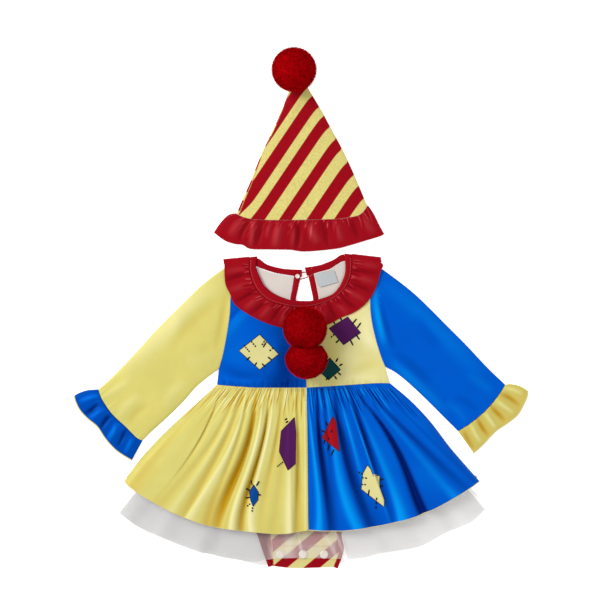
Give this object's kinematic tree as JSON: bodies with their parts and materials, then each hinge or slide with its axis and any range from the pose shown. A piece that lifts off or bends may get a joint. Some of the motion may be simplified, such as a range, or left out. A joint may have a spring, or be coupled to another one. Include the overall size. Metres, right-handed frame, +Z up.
{
  "type": "clown costume, a baby's romper dress with a cone hat, laid flat",
  "caption": "Baby's clown costume laid flat: long-sleeved romper dress in blue and yellow with a red ruffle collar, pompoms, patches and tulle, and a striped cone hat.",
  "frame": {"origin": "middle of the set's box, on the surface that it lies on", "axes": "+Z up off the surface and out of the front of the costume, +Y from the skirt towards the hat, +X to the right as it lies face up"},
  "size_m": [0.605, 0.6942, 0.057],
  "materials": {
    "yellow_cloth": "brushed stretch satin, pale yellow",
    "blue_cloth": "brushed stretch satin, royal blue",
    "red_cloth": "brushed stretch satin, deep red",
    "striped_cloth": "diagonal red and pale yellow stripes",
    "striped_brief": "diagonal red and pale yellow stripes",
    "white_tulle": "fine stiff net, see-through",
    "pompom_yarn": "dense clipped yarn, matt",
    "patch_yellow": "flat patch with black bar stitches",
    "patch_purple": "flat patch with dark edge",
    "patch_green": "flat patch with dark edge",
    "patch_blue": "flat patch with dark edge",
    "patch_red": "flat patch with black bar stitches",
    "label_cloth": "bare woven tape",
    "pearl_button": "pearly",
    "snap_plastic": "smooth resin"
  },
  "bodies": {
    "root": {"hat_cone": "striped_cloth", "hat_ruffle": "red_cloth", "hat_pompom": "pompom_yarn", "bodice_front_blue": "blue_cloth", "bodice_front_yellow": "yellow_cloth", "bodice_back_blue": "blue_cloth", "bodice_back_yellow": "yellow_cloth", "neck_binding_front": "red_cloth", "neck_binding_back_left": "red_cloth", "neck_binding_back_right": "red_cloth", "keyhole_binding": "red_cloth", "back_button": "pearl_button", "button_loop": "red_cloth", "size_label": "label_cloth", "collar_ruffle": "red_cloth", "sleeve_yellow": "yellow_cloth", "sleeve_blue": "blue_cloth", "cuff_ruffle_blue": "blue_cloth", "cuff_ruffle_yellow": "yellow_cloth", "skirt_front_yellow": "yellow_cloth", "skirt_front_blue": "blue_cloth", "skirt_back_yellow": "yellow_cloth", "skirt_back_blue": "blue_cloth", "tulle_front": "white_tulle", "tulle_back": "white_tulle", "brief_front": "striped_brief", "brief_back": "striped_brief", "leg_binding_left": "red_cloth", "leg_binding_right": "red_cloth", "snap_left": "snap_plastic", "snap_middle": "snap_plastic", "snap_right": "snap_plastic", "pompom_upper": "pompom_yarn", "pompom_lower": "pompom_yarn", "patch_bodice_yellow": "patch_yellow", "patch_bodice_purple": "patch_purple", "patch_bodice_green": "patch_green", "patch_skirt_purple": "patch_purple", "patch_skirt_blue": "patch_blue", "patch_skirt_red": "patch_red", "patch_skirt_yellow": "patch_yellow"}
  },
  "joints": []
}
